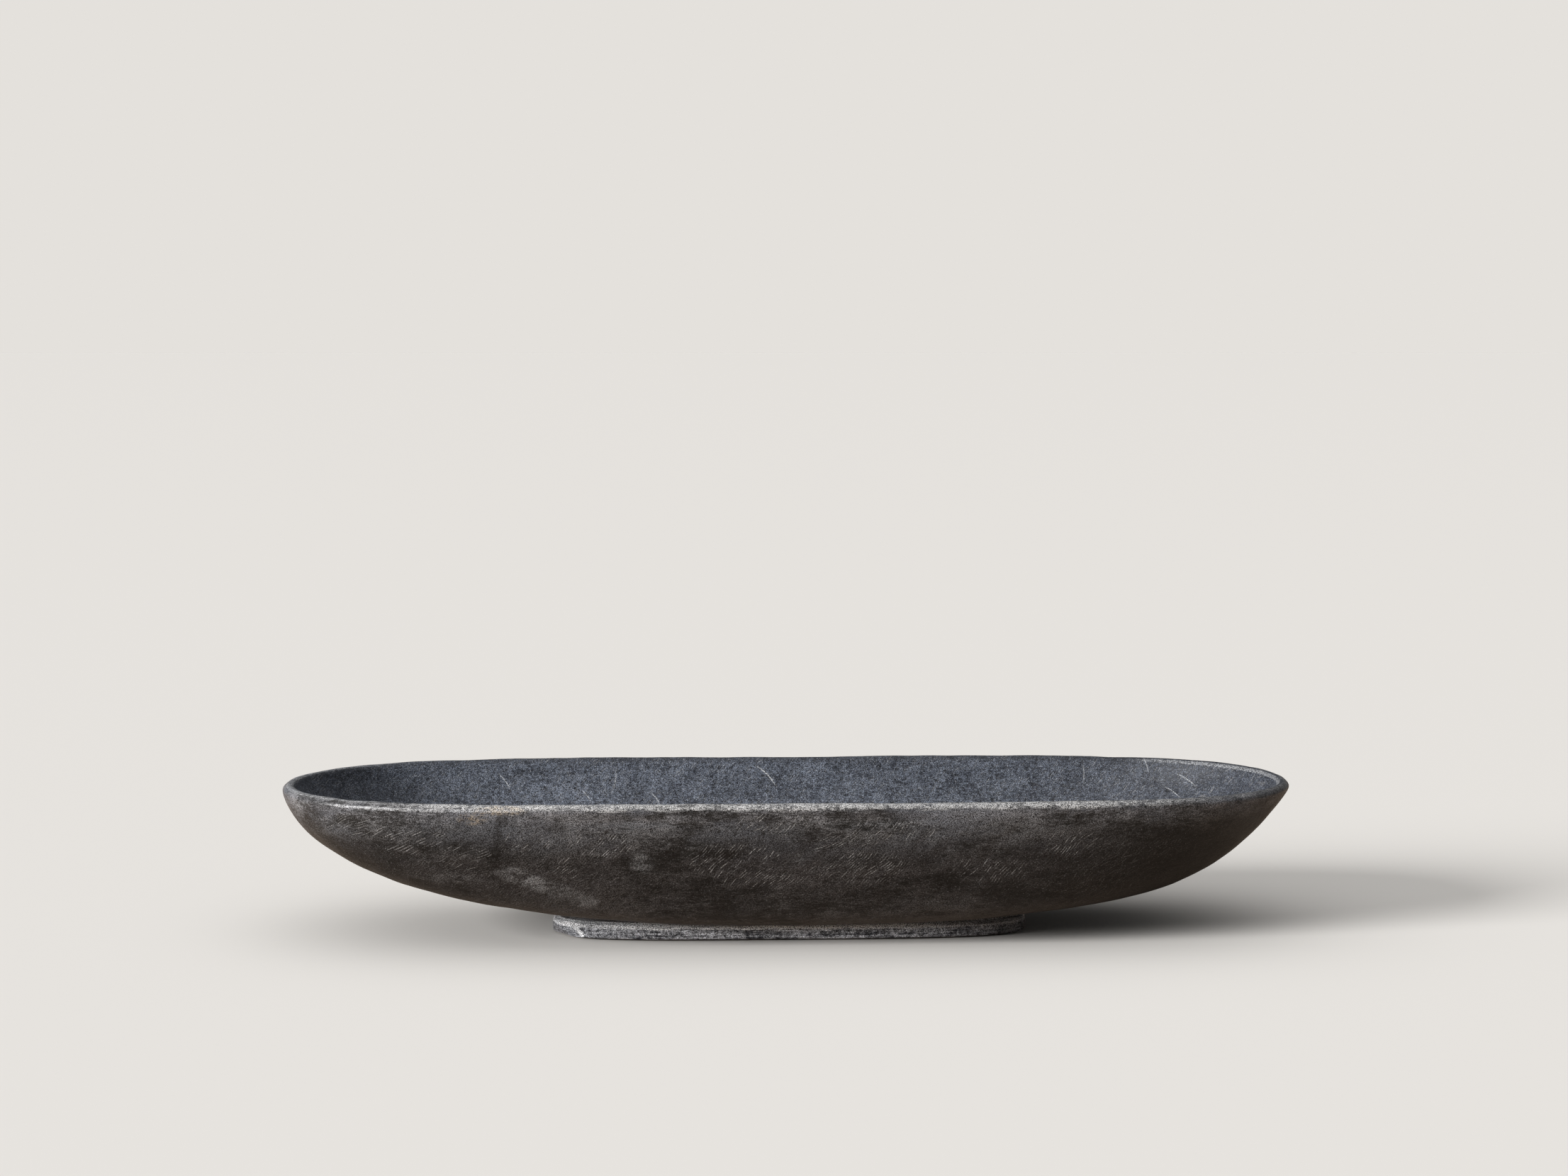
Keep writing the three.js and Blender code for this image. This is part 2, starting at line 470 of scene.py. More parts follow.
def broken(tree, mask, pattern, low, high):
    """A mask broken by a pattern, placed in a material."""
    return use_group(tree, effect(broken_mask), mask=mask, pattern=pattern, low=low, high=high)


def new_material(name):
    """A new material, with its node tree and its shader."""
    material = bpy.data.materials.new(name)
    material.use_nodes = True
    tree = material.node_tree
    return material, tree, tree.nodes["Principled BSDF"]


def object_place(tree):
    """The place on a piece, in its own coordinates."""
    return add(tree, "TexCoord").outputs["Object"]


# The stone

# Masks that the mesh carries for the material
MASK_NAMES = (
    "hollow_mask", "rim_wear_and_highlight_mask", "glint_mask", "foot_mask", "shoulder_highlight_mask", "bloom_mask", "steep_mask",
    "slant_mask", "rust_mask", "seam_mask")

# Bowed scratches in the hollow: where each is, where it bends round, half its length and its strength
HOLLOW_SCRATCHES = (
    (from_mm(-9, 95, 79), from_mm(-32, 95, 57), 11 * MM, 1.0),
    (from_mm(-176, 91, 77), from_mm(-195, 91, 62), 8 * MM, 0.6),
    (from_mm(-106, 94, 76), from_mm(-128, 94, 80), 8 * MM, 0.45),
    (from_mm(-124, 91, 67), from_mm(-138, 91, 56), 6 * MM, 0.5),
    (from_mm(-80, 91, 65), from_mm(-94, 91, 54), 6 * MM, 0.6),
    (from_mm(193, 90, 79), from_mm(140, 90, 80), 8 * MM, 0.5),
    (from_mm(256, 67, 78), from_mm(240, 67, 55), 11 * MM, 0.6),
    (from_mm(246, 66, 71), from_mm(232, 66, 50), 10 * MM, 0.5),
    (from_mm(232, 83, 86), from_mm(205, 83, 78), 7 * MM, 0.5),
)

# Marks on the outside: where each is, its radii and how strong it is in the middle.
# A mark has faded out where the square of its distance, in radii, is MARK_FADE
MARK_FADE = 1.6
PALE_BLOOMS = (
    (from_mm(-165, -93, 50), from_mm(9, 30, 4), 0.5),
    (from_mm(-157, -92, 46), from_mm(10, 30, 4), 0.6),
    (from_mm(-149, -91, 43), from_mm(10, 30, 4), 0.6),
    (from_mm(-141, -90, 40), from_mm(10, 30, 4), 0.5),
    (from_mm(-132, -88, 36), from_mm(10, 30, 4), 0.4),
    (from_mm(-122, -85, 31), from_mm(9, 30, 4), 0.5),
    (from_mm(-153, -91, 45), from_mm(6, 30, 2), 0.6),
    (from_mm(-200, -88, 45), from_mm(20, 30, 3), 0.3),
    (from_mm(-89, -98, 55), from_mm(6.5, 30, 6), 0.7),
    (from_mm(1, -99, 58), from_mm(3, 30, 3), 0.7),
    (from_mm(-288, -50, 84), from_mm(8, 20, 3), 0.8),
)
STEEP_HATCHING = (
    (from_mm(-156, -100, 68), from_mm(16, 30, 8), 1.0),
    (from_mm(-112, -102, 67), from_mm(24, 30, 8), 1.0),
    (from_mm(-132, -96, 52), from_mm(9, 30, 8), 0.8),
    (from_mm(-36, -98, 57), from_mm(30, 30, 11), 1.0),
    (from_mm(-20, -96, 45), from_mm(30, 30, 7), 0.7),
    (from_mm(-10, -104, 79), from_mm(30, 30, 7), 1.0),
    (from_mm(56, -103, 73), from_mm(34, 30, 8), 0.9),
    (from_mm(36, -97, 52), from_mm(30, 30, 11), 0.8),
    (from_mm(158, -98, 66), from_mm(20, 30, 9), 0.7),
    (from_mm(112, -95, 50), from_mm(26, 30, 9), 0.6),
)
SLANT_HATCHING = (
    (from_mm(-221, -91, 68), from_mm(26, 30, 8), 1.0),
    (from_mm(-255, -80, 76), from_mm(24, 40, 8), 0.6),
    (from_mm(-190, -94, 58), from_mm(22, 30, 8), 0.6),
    (from_mm(20, -103, 66), from_mm(24, 30, 8), 0.7),
)
RUST_STAINS = (
    (from_mm(-170, -103, 87), from_mm(16, 12, 3), 0.9),
    (from_mm(-186, -100, 82), from_mm(10, 12, 4), 0.6),
)
DARK_SEAM = (
    (from_mm(-169, -102, 80), from_mm(4, 30, 5), 0.9),
    (from_mm(-171, -100, 73), from_mm(3, 30, 5), 0.8),
    (from_mm(-171, -98, 66), from_mm(4, 30, 6), 0.8),
    (from_mm(-173, -96, 58), from_mm(3.5, 30, 6), 0.7),
    (from_mm(-138, -102, 77), from_mm(9, 30, 5), 0.6),
)

# Painted shade that makes the belly darker and browner low down and at its ends, how much darker it is in a
# seam, and painted light that makes it paler under the rim
LOW_PAINTED_SHADE = (0.34, 0.315, 0.305)
IN_SEAM = (0.44, 0.43, 0.42)
END_PAINTED_SHADE = (0.24, 0.225, 0.21)
UPPER_PAINTED_LIGHT = (1.45, 1.45, 1.48)

# How strongly each finish or painted highlight covers the stone under it
STROKE_COVER = 0.9
PIT_COVER = 0.7
WEAR_COVER = 0.95
GLINT_COVER = 0.19
STAIN_COVER = 0.4

# How steeply the tools went over the front, rising to the right
STEEP_RISE = math.radians(47)
SLANT_RISE = math.radians(27)

# Shallow scallops that the chisel left on the front, at the steep rise:
# where each is along and up, half its length, half its width and its depth
SCALLOPS = (
    from_mm(7, 62, 12, 5, 0.55),
    from_mm(14, 56, 11, 5, 0.45),
    from_mm(48, 62, 13, 6, 0.45),
    from_mm(45, 49, 12, 5, 0.55),
    from_mm(58, 45, 10, 5, 0.4),
    from_mm(75, 67, 13, 6, 0.55),
    from_mm(84, 60, 11, 5, 0.45),
    from_mm(116, 64, 14, 6, 0.45),
    from_mm(126, 71, 10, 5, 0.4),
    from_mm(-34, 58, 16, 7, 0.4),
    from_mm(-62, 66, 15, 7, 0.4),
    from_mm(-112, 66, 14, 6, 0.4),
    from_mm(-150, 62, 16, 7, 0.4),
    from_mm(-207, 66, 16, 7, 0.4),
)

# Lump sizes of the carver's unevenness, and how far the rim wanders
SWELL_SIZE = 75 * MM
DENT_SIZE = 22 * MM
NICK_SIZE = 8 * MM
WANDER_SIZE = 24 * MM
RIM_WANDER = 0.3 * MM

# Flutes that the gouge left under the rim: their depth and half their width, then where each is and
# half its length
FLUTE_DEPTH = 0.9 * MM
FLUTE_HALF_WIDTH = 5 * MM
FLUTES = (
    (from_mm(50, -104), 46 * MM),
    (from_mm(-95, -103), 30 * MM),
    (from_mm(-60, 104), 50 * MM),
    (from_mm(150, 102), 36 * MM),
)

# Widths of the rings that brace the underside
UNDERSIDE_RINGS = from_mm(2, 8)

# Facets cut across the foot's corners: how flat they are, then which end and side, how deep, and
# which way each faces
FACET_FLATNESS = 0.9
FOOT_FACETS = (
    ((-1, -1), 2.2 * MM, (0.62, 0.78, 0.0)),
    ((-1, -1), 2.4 * MM, (0.70, 0.46, -0.55)),
    ((1, -1), 0.9 * MM, (0.70, 0.71, 0.0)),
    ((-1, 1), 1.2 * MM, (0.66, 0.75, 0.0)),
    ((1, 1), 1.3 * MM, (0.60, 0.80, 0.0)),
)

# Chipped ridge down the left front corner of the foot, from its top to its bottom, painted pale as a
# highlight
RIDGE_TOP = Vector(from_mm(-131, -34, 9))
RIDGE_FOOT = Vector(from_mm(-124, -40, 2))


class MarbleNodes:
    """What the layers of the marble share: its node tree, places, masks and patterns."""

    def __init__(self, tree):
        place = object_place(tree)
        sides = add(tree, "SeparateXYZ", {0: place}).outputs
        drawn_out = vector_calc(tree, "MULTIPLY", place, (0.3, 0.6, 1.0))
        shifted = vector_calc(tree, "ADD", drawn_out, (0.3, 0.1, 0.2))
        combed = vector_calc(tree, "MULTIPLY", place, (0.2, 0.4, 1.0))
        finely_combed = vector_calc(tree, "MULTIPLY", place, (0.05, 0.1, 1.0))
        self.tree = tree
        self.place = place
        self.along = sides["X"]
        self.height = sides["Z"]
        self.masks = {name: add(tree, "Attribute", attribute_name=name).outputs["Fac"] for name in MASK_NAMES}
        self.broad = mottle(tree, drawn_out, 30 * MM, 0.34, 0.66)
        self.cool = mottle(tree, shifted, 22 * MM, 0.42, 0.68)
        self.clouds = mottle(tree, place, 13 * MM)
        self.streaks = mottle(tree, combed, 4.5 * MM)
        self.crumbs = mottle(tree, place, 2.2 * MM)
        self.brushed = mottle(tree, finely_combed, 0.9 * MM, 0.32, 0.68)
        self.lines = mottle(tree, combed, 0.8 * MM)
        self.grain = mottle(tree, place, 0.5 * MM, 0.36, 0.64)
        self.shred = total(tree, (self.lines, 0.35), (self.crumbs, 0.35), (self.clouds, 0.3))


def belly_colour(stone, settings):
    """Brown-grey stone, bluer in patches and higher up, with painted light paler under the rim and painted
    shade darker low down and at the ends.
    """
    tree = stone.tree
    tone = total(tree, (stone.broad, 0.28), (stone.clouds, 0.2), (stone.streaks, 0.22), (stone.lines, 0.3))
    tone = ramp(tree, tone, 0.25, 0.75)
    belly = blend(tree, tone, colour(settings.outside_dark), colour(settings.outside_light))
    # Bluer patches of the stone, made bluer higher up as a painted reflection of the sky
    cool = times(tree, stone.cool, ramp(tree, stone.height, 30 * MM, 80 * MM, 0.2, 0.8))
    belly = blend(tree, cool, belly, colour(settings.outside_cool))
    # Painted light: the belly is made paler under the rim, where light from above falls on it
    painted_light_below_rim = ramp(tree, stone.height, RIM_TOP - 16 * MM, RIM_TOP - 5 * MM)
    belly = tinted(tree, painted_light_below_rim, belly, UPPER_PAINTED_LIGHT)
    # Painted shade: the belly is made darker and browner low down, where it faces the floor, and less so near
    # the foot
    shade_low_down = ramp(tree, stone.height, FOOT_TOP + 70 * MM, FOOT_TOP + 44 * MM)
    near_foot = ramp(tree, stone.height, FOOT_TOP + 10 * MM, FOOT_TOP + 28 * MM, 0.6, 1.0)
    belly = tinted(tree, times(tree, shade_low_down, near_foot), belly, LOW_PAINTED_SHADE)
    # Painted shade: darker low down at the left end, and at the right end below the rim
    left_end_shade = times(tree, ramp(tree, stone.along, -90 * MM, -210 * MM, 0.0, 0.45), shade_low_down)
    off_rim = ramp(tree, stone.height, RIM_TOP - 3 * MM, RIM_TOP - 24 * MM)
    right_end_shade = times(tree, ramp(tree, stone.along, 60 * MM, 230 * MM), off_rim)
    return tinted(tree, most(tree, left_end_shade, right_end_shade), belly, END_PAINTED_SHADE)


def hollow_colour(stone, settings):
    """Bluer crumbly stone, with painted shade that darkens it at the ends, and darker at the lip."""
    tree = stone.tree
    dark = colour(settings.hollow_dark)
    tone = total(tree, (stone.broad, 0.13), (stone.clouds, 0.19), (stone.lines, 0.3), (stone.crumbs, 0.38))
    wall = blend(tree, ramp(tree, tone, 0.1, 0.9), dark, colour(settings.hollow_light))
    # Painted shade: the hollow is darker towards both ends
    left_end_shade = ramp(tree, stone.along, -190 * MM, -290 * MM, 0.0, 0.5)
    right_end_shade = ramp(tree, stone.along, 140 * MM, 270 * MM, 0.0, 0.5)
    wall = blend(tree, most(tree, left_end_shade, right_end_shade), wall, dark)
    lip = ramp(tree, stone.height, RIM_TOP - 4 * MM, RIM_TOP - 1 * MM, 0.0, 0.6)
    return blend(tree, lip, wall, dark)


def foot_colour(stone, settings):
    """Dry brushed grey stone, with painted shade that darkens it towards both ends."""
    tree = stone.tree
    tone = total(tree, (stone.brushed, 0.4), (stone.lines, 0.25), (stone.crumbs, 0.35))
    tone = ramp(tree, tone, 0.12, 0.88)
    # Painted shade: the foot is darker towards both ends
    tone = times(tree, tone, ramp(tree, stone.along, -130 * MM, -70 * MM, 0.5, 1.0))
    tone = times(tree, tone, ramp(tree, stone.along, 40 * MM, 140 * MM, 1.0, 0.5))
    return blend(tree, tone, colour(settings.hollow_dark), colour(settings.dusty))


def rasp_strokes(stone):
    """Strokes of the rasp at two angles: in patches on the outside, and steep faint ones in the hollow."""
    tree = stone.tree
    hollow = stone.masks["hollow_mask"]
    outer = calc(tree, "SUBTRACT", 1.0, hollow)
    stray = times(tree, ramp(tree, stone.broad, 0.3, 0.9, 0.04, 0.22), outer)
    inner = times(tree, ramp(tree, stone.clouds, 0.35, 0.75, 0.08, 0.6), hollow)
    steep = use_group(
        tree, effect(short_strokes), vector=stone.place, angle=STEEP_RISE, spacing=1.5 * MM, length=8 * MM,
        width=0.55, amount=1.0)
    slant = use_group(
        tree, effect(short_strokes), vector=stone.place, angle=SLANT_RISE, spacing=1.4 * MM, length=11 * MM,
        width=0.5, amount=0.9)
    steep_patches = broken(tree, stone.masks["steep_mask"], stone.clouds, 0.0, 0.3)
    slant_patches = broken(tree, stone.masks["slant_mask"], stone.clouds, 0.0, 0.3)
    steep = times(tree, steep, most(tree, most(tree, steep_patches, stray), inner))
    slant = times(tree, slant, most(tree, slant_patches, stray))
    return most(tree, steep, slant)


def hollow_scratches(stone):
    """The bowed scratches in the hollow, each with its strength."""
    tree = stone.tree
    scratches = 0.0
    for middle, centre, reach, strength in HOLLOW_SCRATCHES:
        scratch = use_group(
            tree, effect(curved_scratch), vector=stone.place, middle=middle, centre=centre, reach=reach,
            width=0.6 * MM)
        scratches = most(tree, times(tree, scratch, strength), scratches)
    return scratches


def foot_scuffs(stone):
    """Where a highlight is painted pale on the foot's shoulder and its ridge, less at both ends."""
    tree = stone.tree
    shoulder_highlight = broken(tree, stone.masks["shoulder_highlight_mask"], stone.brushed, -0.3, 0.5)
    shoulder_highlight = times(tree, shoulder_highlight, ramp(tree, stone.along, -130 * MM, -70 * MM, 0.5, 0.95))
    return times(tree, shoulder_highlight, ramp(tree, stone.along, 50 * MM, 115 * MM, 1.0, 0.3))


def charcoal_marble(settings):
    """Dark satin marble: brown-grey outside, bluer in the hollow, grained, hatched, worn at its edges, with
    painted light, shade and highlights.
    """
    material, tree, shader = new_material("charcoal_marble")
    stone = MarbleNodes(tree)
    place = stone.place
    masks = stone.masks
    hollow = masks["hollow_mask"]
    crystal = colour(settings.crystal)
    outside = blend(tree, masks["foot_mask"], belly_colour(stone, settings), foot_colour(stone, settings))
    ground = blend(tree, hollow, outside, hollow_colour(stone, settings))

    # Rasp strokes, pale blooms, crystals and scratches
    strokes = rasp_strokes(stone)
    ground = covered(tree, ground, strokes, STROKE_COVER, settings.rasped)
    wisps = total(tree, (stone.streaks, 0.4), (stone.crumbs, 0.3), (stone.clouds, 0.3))
    wisps = ramp(tree, wisps, 0.25, 0.75, 0.03, 0.34)
    ground = blend(tree, times(tree, masks["bloom_mask"], wisps), ground, crystal)
    crystals = use_group(tree, effect(bright_speckle), vector=place, size=0.9 * MM, amount=0.5)
    shine = ramp(tree, hollow, 0.0, 1.0, 0.12, 0.34)
    ground = blend(tree, times(tree, crystals, shine), ground, crystal)
    ground = blend(tree, hollow_scratches(stone), ground, crystal)

    # Dark seam and pits
    seam = broken(tree, masks["seam_mask"], stone.shred, 0.12, 0.6)
    ground = tinted(tree, seam, ground, IN_SEAM)
    pits = use_group(tree, effect(bright_speckle), vector=place, size=3.2 * MM, amount=0.1)
    ground = covered(tree, ground, pits, PIT_COVER, settings.outside_dark)

    # Rim wear with its painted highlight, painted highlights on the rim's ends and the foot's shoulder, and
    # the iron stain on the rim
    rim_wear_and_highlight = broken(tree, masks["rim_wear_and_highlight_mask"], stone.shred, 0.2, 0.6)
    ground = covered(tree, ground, rim_wear_and_highlight, WEAR_COVER, settings.worn_edge)
    glint = broken(tree, masks["glint_mask"], stone.lines, 0.0, 0.4)
    ground = covered(tree, ground, glint, GLINT_COVER, settings.scuffed)
    ground = blend(tree, foot_scuffs(stone), ground, colour(settings.scuffed))
    stain = broken(tree, masks["rust_mask"], stone.shred, 0.3, 0.7)
    ground = covered(tree, ground, stain, STAIN_COVER, settings.rust)

    # Fine grain all over, with painted light that makes it a little paler to the left
    painted_left_light = ramp(tree, stone.along, BOWL_LOW[0], BOWL_HIGH[0], 1.14, 0.86)
    depth = times(tree, ramp(tree, stone.grain, 0.0, 1.0, 0.1, 1.95), painted_left_light)
    tree.links.new(scaled(tree, ground, depth), shader.inputs["Base Color"])

    # Satin finish, drier in the hollow and smoother where it is handled, with a fine tooth
    worked = total(tree, (stone.clouds, 0.3), (stone.grain, 0.3), (strokes, 0.4))
    worked = ramp(tree, worked, 0.0, 1.0, 0.36, 0.56)
    dry = calc(tree, "ADD", worked, times(tree, hollow, 0.14))
    handled = most(tree, masks["rim_wear_and_highlight_mask"], masks["glint_mask"])
    rough = calc(tree, "SUBTRACT", dry, ramp(tree, handled, 0.0, 0.5, 0.0, 0.14))
    tree.links.new(rough, shader.inputs["Roughness"])
    shader.inputs["Specular IOR Level"].default_value = 0.3
    tooth = total(
        tree, (stone.grain, 0.03), (stone.crumbs, 0.05), (stone.lines, 0.04), (stone.streaks, 0.12),
        (strokes, -0.12), (pits, -0.3), (stone.clouds, 0.25))
    bump = add(tree, "Bump", {"Strength": 1.0, "Distance": 1 * MM, "Height": tooth})
    tree.links.new(bump.outputs["Normal"], shader.inputs["Normal"])
    return material


class BOWL_OT_carve_stone(bpy.types.Operator):
    """Carve the stone: the bowl with its foot, uneven as handwork is, nicked at the rim and worn"""

    bl_idname = "bowl.carve_stone"
    bl_label = "Carve Stone"

    def execute(self, context):
        settings = context.scene.bowl_stone
        stone = copy_of_node("bowl", "carved_stone")
        self.brace_underside(stone)
        subdivide_smoothly(stone, 2)
        self.refine_front(stone)
        self.work_surface(stone, settings)
        self.store_masks(stone)
        take(stone)
        bpy.ops.object.shade_smooth()
        stone.data.materials.clear()
        stone.data.materials.append(charcoal_marble(settings))
        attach(stone, "root")
        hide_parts("bowl")
        return {"FINISHED"}

    def brace_underside(self, stone):
        """Makes the underside one face with a rim of its own, so that it stays flat when refined."""
        bpy.ops.object.mode_set(mode="EDIT")
        select_faces(stone, lambda centre, normal: normal.z < -0.99 and centre.z < UNDERSIDE + 0.1 * MM)
        bpy.ops.mesh.dissolve_faces()
        for thickness in UNDERSIDE_RINGS:
            bpy.ops.mesh.inset(thickness=thickness)
        bpy.ops.object.mode_set(mode="OBJECT")

    def refine_front(self, stone):
        """Refines the front of the belly and the foot's left front corner, for the marks that they carry."""

        def marked(centre, normal):
            belly = centre.y < 0 and normal.y < -0.3 and centre.z > FOOT_TOP + 8 * MM
            left_front = centre.x < -95 * MM and centre.y < -15 * MM
            corner = left_front and centre.z < FOOT_TOP and normal.z > -0.9
            return belly or corner

        take(stone)
        bpy.ops.object.mode_set(mode="EDIT")
        select_faces(stone, marked)
        bpy.ops.mesh.subdivide(number_cuts=1, smoothness=1.0)
        bpy.ops.object.mode_set(mode="OBJECT")

    def work_surface(self, stone, settings):
        """Gives the surface its swells, dents, wandering rim, nicks, flutes, scallops and faceted foot."""
        free = paint_weights(stone, "free", lambda place, normal: ease(UNDERSIDE + 1 * MM, FOOT_TOP, place.z))
        push(stone, free, settings.swell * 2, cloud_texture("swell", SWELL_SIZE, 1))
        push(stone, free, settings.dents * 2, cloud_texture("dents", DENT_SIZE, 1))

        def rim_weight(place, normal):
            return ease(RIM_TOP - 3 * RIM_RADIUS, RIM_TOP - RIM_RADIUS, place.z)

        rim = paint_weights(stone, "rim", rim_weight)
        push(stone, rim, RIM_WANDER, cloud_texture("rim_wander", WANDER_SIZE, 2))

        def nick_weight(place, normal):
            lump = noise.noise(place / NICK_SIZE) + 0.5 * noise.noise(place / (NICK_SIZE / 2))
            return ease(0.5, 0.9, lump) * rim_weight(place, normal) * ease(0.9, 0.6, normal.z)

        push(stone, paint_weights(stone, "nicks", nick_weight), -settings.nicks)

        def flute_weight(place, normal):
            band = 1 - ease(0, FLUTE_HALF_WIDTH, abs(place.z - (RIM_TOP - 2.2 * RIM_RADIUS)))
            outer = ease(-0.2, 0.2, normal.dot(outward(place)))
            return band * outer * max(self.near_flute(place, *flute) for flute in FLUTES)

        push(stone, paint_weights(stone, "flutes", flute_weight), -FLUTE_DEPTH)

        def scallop_weight(place, normal):
            front = ease(-0.3, -0.6, normal.y) * ease(0, -20 * MM, place.y)
            return front * sum(self.in_scallop(place, *scallop) for scallop in SCALLOPS)

        push(stone, paint_weights(stone, "scallops", scallop_weight), -1 * MM)
        for (end, side), depth, facing in FOOT_FACETS:
            self.cut_facet(stone, Vector((end * facing[0], side * facing[1], facing[2])), depth)

    def in_scallop(self, place, along, up, half_length, half_width, depth):
        """Depth of a scallop at a place, in millimetres: deepest towards its upper left."""
        aside = place.x - along
        above = place.z - up
        lengthwise = (aside * math.cos(STEEP_RISE) + above * math.sin(STEEP_RISE)) / half_length
        across = (above * math.cos(STEEP_RISE) - aside * math.sin(STEEP_RISE)) / half_width
        inside = max(0.0, 1 - lengthwise ** 2 - across ** 2)
        return inside * (1 + 0.6 * across) * depth / MM

    def near_flute(self, place, middle, reach):
        """How much of a flute reaches a place on the outside."""
        away = math.hypot(place.x - middle[0], place.y - middle[1])
        return 1 - ease(0.1 * reach, reach, away)

    def cut_facet(self, stone, facing, depth):
        """Planes off the part of the foot that stands furthest out in one direction."""
        foot = [vertex for vertex in stone.data.vertices if vertex.co.z < FOOT_TOP + 0.5 * MM]
        level = max(vertex.co.dot(facing) for vertex in foot) - depth
        for vertex in foot:
            over = vertex.co.dot(facing) - level
            if over > 0:
                vertex.co -= facing * over * FACET_FLATNESS

    def store_masks(self, stone):
        """Stores where the hollow, the worn rim with its painted highlight, the other painted highlights, the
        foot and the marks are.
        """

        def hollow(place, normal):
            inward = ease(0.35, 0.05, normal.dot(outward(place))) * ease(-0.5, -0.1, normal.z)
            return inward * ease(FOOT_TOP + 10 * MM, FOOT_TOP + 14 * MM, place.z)

        # Worn rim, strongest on the front and weaker at both ends: wear, and a painted highlight along the
        # front
        def edge(place, normal):
            low = RIM_TOP - 3.4 * MM + 1.8 * MM * wander(place, 20 * MM)
            band = 0.7 * ease(low - 1.5 * MM, low + 1.5 * MM, place.z)
            crest = 0.3 * ease(RIM_TOP - 2.2 * MM, RIM_TOP - 0.6 * MM, place.z)
            rim = (band + crest) * ease(-0.5, 0.1, normal.dot(outward(place)))
            rim *= 0.3 + 0.7 * ease(50 * MM, -40 * MM, place.y) * ease(250 * MM, 150 * MM, place.x)
            return rim * (0.2 + 0.8 * ease(-260 * MM, -150 * MM, place.x))

        # Painted highlights: a bright line at the left front, the inner edge at the right end, and the crest
        # at the left end
        def glint(place, normal):
            out = normal.dot(outward(place))
            left = ease(1.3 * MM, 0.4 * MM, abs(place.z - (RIM_TOP - 3.2 * MM)))
            left *= ease(0.0, 0.3, out) * ease(0, -20 * MM, place.y)
            left *= ease(-280 * MM, -255 * MM, place.x) * ease(-120 * MM, -210 * MM, place.x)
            right = ease(1.4 * MM, 0.5 * MM, abs(place.z - (RIM_TOP - 1.6 * MM)))
            right *= ease(-0.2, -0.5, out) * ease(200 * MM, 265 * MM, place.x)
            crest = ease(RIM_TOP - 1.2 * MM, RIM_TOP - 0.3 * MM, place.z)
            crest *= ease(-215 * MM, -265 * MM, place.x)
            return max(left, 0.8 * right, 0.6 * crest)

        # Painted highlight along the foot's shoulder and down the chipped ridge at its left front corner
        def shoulder(place, normal):
            low = FOOT_TOP - 2.8 * MM + 1.2 * MM * wander(place, 18 * MM)
            band = ease(low - 0.8 * MM, low + 0.8 * MM, place.z)
            band *= 1 - ease(FOOT_TOP + 0.2 * MM, FOOT_TOP + 1.0 * MM, place.z)
            along, share = intersect_point_line(place, RIDGE_TOP, RIDGE_FOOT)
            ridge = ease(2.0 * MM, 0.5 * MM, (place - along).length) if 0 < share < 1 else 0.0
            return max(band, ridge)

        def foot(place, normal):
            return 1 - ease(FOOT_TOP - 0.5 * MM, FOOT_TOP + 1.5 * MM, place.z)

        def any_of(marks):
            return lambda place, normal: min(sum(self.near_mark(place, *mark) for mark in marks), 1.0)

        measures = (
            hollow, edge, glint, foot, shoulder, any_of(PALE_BLOOMS), any_of(STEEP_HATCHING),
            any_of(SLANT_HATCHING), any_of(RUST_STAINS), any_of(DARK_SEAM))
        for name, measure in zip(MASK_NAMES, measures):
            store_mask(stone, name, measure)

    def near_mark(self, place, middle, radii, strength):
        """How much of a mark reaches a place: its strength in the middle, gone a little past its radii."""
        away = ((place.x - middle[0]) / radii[0]) ** 2
        if away > MARK_FADE:
            return 0.0
        away += ((place.y - middle[1]) / radii[1]) ** 2 + ((place.z - middle[2]) / radii[2]) ** 2
        return strength * ease(MARK_FADE, 0.0, away)


# The felt pads: corners of their discs, and the rings inside a pressed edge
PAD_CORNERS = 72
PAD_EDGE = 0.25 * MM
PAD_RING = 1.6 * MM
PAD_RINGS = 3


def pressed_felt(settings):
    """Dark pressed wool with pale lint."""
    material, tree, shader = new_material("pressed_felt")
    place = object_place(tree)
    clumps = mottle(tree, place, 1.6 * MM)
    fibres = use_group(
        tree, effect(short_strokes), vector=place, angle=0.4, spacing=0.12 * MM, length=1.2 * MM, width=0.7,
        amount=0.8)
    lint = use_group(tree, effect(bright_speckle), vector=place, size=0.5 * MM, amount=0.2)
    pale = most(tree, times(tree, fibres, 0.35), times(tree, lint, 0.5))
    wool = scaled(tree, settings.colour, ramp(tree, clumps, 0.0, 1.0, 0.7, 1.3))
    tree.links.new(blend(tree, pale, wool, colour(settings.lint)), shader.inputs["Base Color"])
    tree.links.new(ramp(tree, clumps, 0.0, 1.0, 0.88, 0.98), shader.inputs["Roughness"])
    nap = total(tree, (fibres, 0.6), (clumps, 0.4))
    bump = add(tree, "Bump", {"Strength": 0.7, "Distance": 0.15 * MM, "Height": nap})
    tree.links.new(bump.outputs["Normal"], shader.inputs["Normal"])
    shader.inputs["Sheen Weight"].default_value = 0.4
    shader.inputs["Sheen Roughness"].default_value = 0.6
    return material


